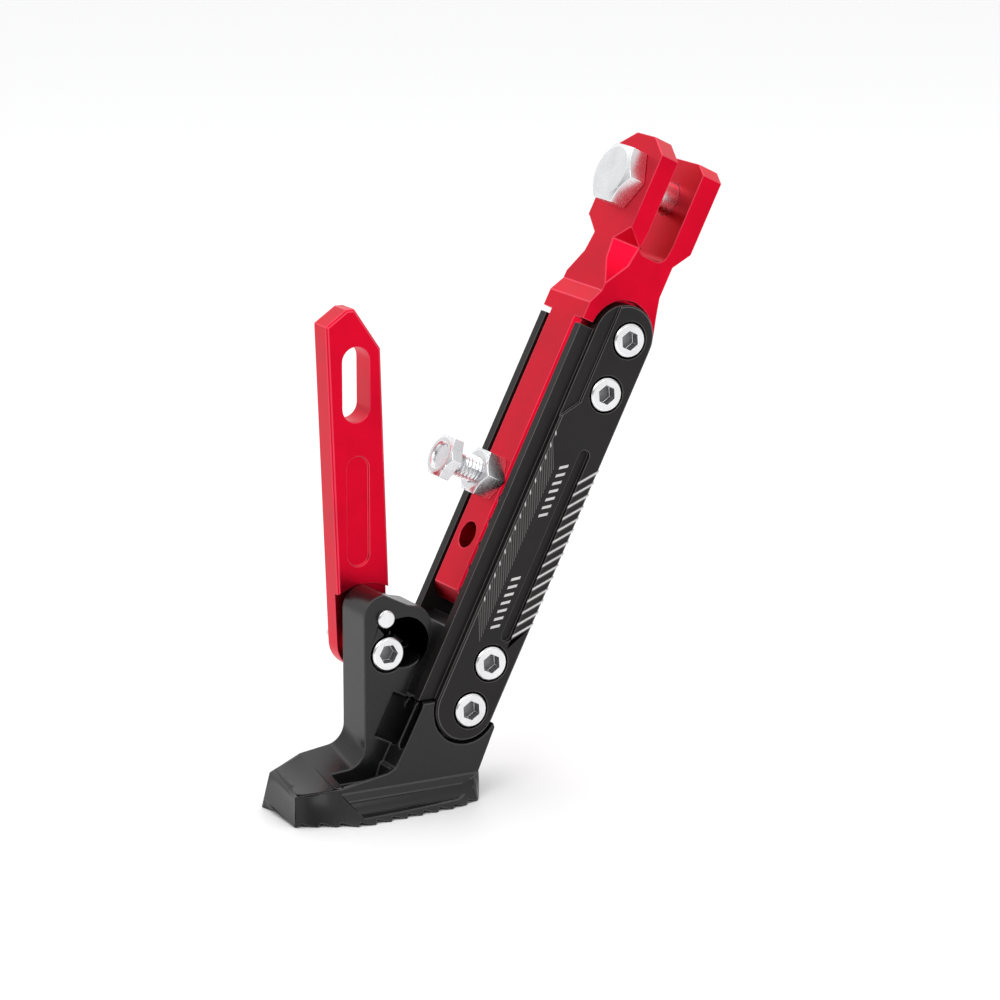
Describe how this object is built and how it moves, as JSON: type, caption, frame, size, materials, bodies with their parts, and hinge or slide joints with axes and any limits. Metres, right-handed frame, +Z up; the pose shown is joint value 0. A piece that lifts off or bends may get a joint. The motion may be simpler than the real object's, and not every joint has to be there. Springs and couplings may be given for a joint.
{
  "type": "motorcycle side stand",
  "caption": "Adjustable motorcycle side stand: clevis arm sliding in a clamped two-shell leg on a toothed foot, with a folding kick lever and a return spring stud.",
  "frame": {"origin": "middle of the clevis gap, on the pivot bolt's axis", "axes": "+Z up with the sole on the ground, +X from the foot's toe to its heel, -Y towards the decorated near side"},
  "size_m": [0.1422, 0.0467, 0.1871],
  "materials": {
    "red_anodised": "bead blasted and clear red anodised, semi-gloss",
    "black_anodised": "black anodised, satin, bright engraved lines",
    "black_coated": "black coated casting, gloss",
    "zinc_steel": "bright zinc plated",
    "stainless": "stainless, polished heads",
    "spring_steel": "bright spring wire",
    "bronze": "sintered bronze"
  },
  "bodies": {
    "pivot": {"pivot_bolt": "zinc_steel", "pivot_washer": "zinc_steel", "pivot_clip": "spring_steel"},
    "arm": {"arm": "red_anodised", "spring_stud": "zinc_steel", "spring_stud_nut": "zinc_steel"},
    "leg": {"near_shell": "black_anodised", "far_shell": "black_anodised", "upper_clamp_screws": "stainless", "lower_clamp_screws": "stainless", "upper_clamp_nuts": "zinc_steel", "lower_clamp_nuts": "zinc_steel", "foot": "black_coated", "lever_pivot_screw": "stainless", "lever_bush": "bronze", "lever_washer": "zinc_steel", "lever_nut": "zinc_steel", "spring_anchor_pin": "stainless", "lever_spring": "spring_steel"},
    "lever": {"kick_lever": "red_anodised"}
  },
  "joints": [
    {"name": "stand_swing", "type": "hinge", "parent": "pivot", "child": "arm", "pos_m": [0, 0, 0], "axis": [-0.8926, 0, 0.4509], "range_deg": [0, 95]},
    {"name": "length_slide", "type": "slide", "parent": "arm", "child": "leg", "axis": [-0.4509, 0, -0.8926], "range_m": [0, 0.045]},
    {"name": "lever_fold", "type": "hinge", "parent": "leg", "child": "lever", "pos_m": [-0.0918, 0.0122, -0.1252], "axis": [0, 1, 0], "range_deg": [-85, 20], "stiffness_Nm_per_rad": 0.15, "deforming": ["lever_spring"]}
  ]
}
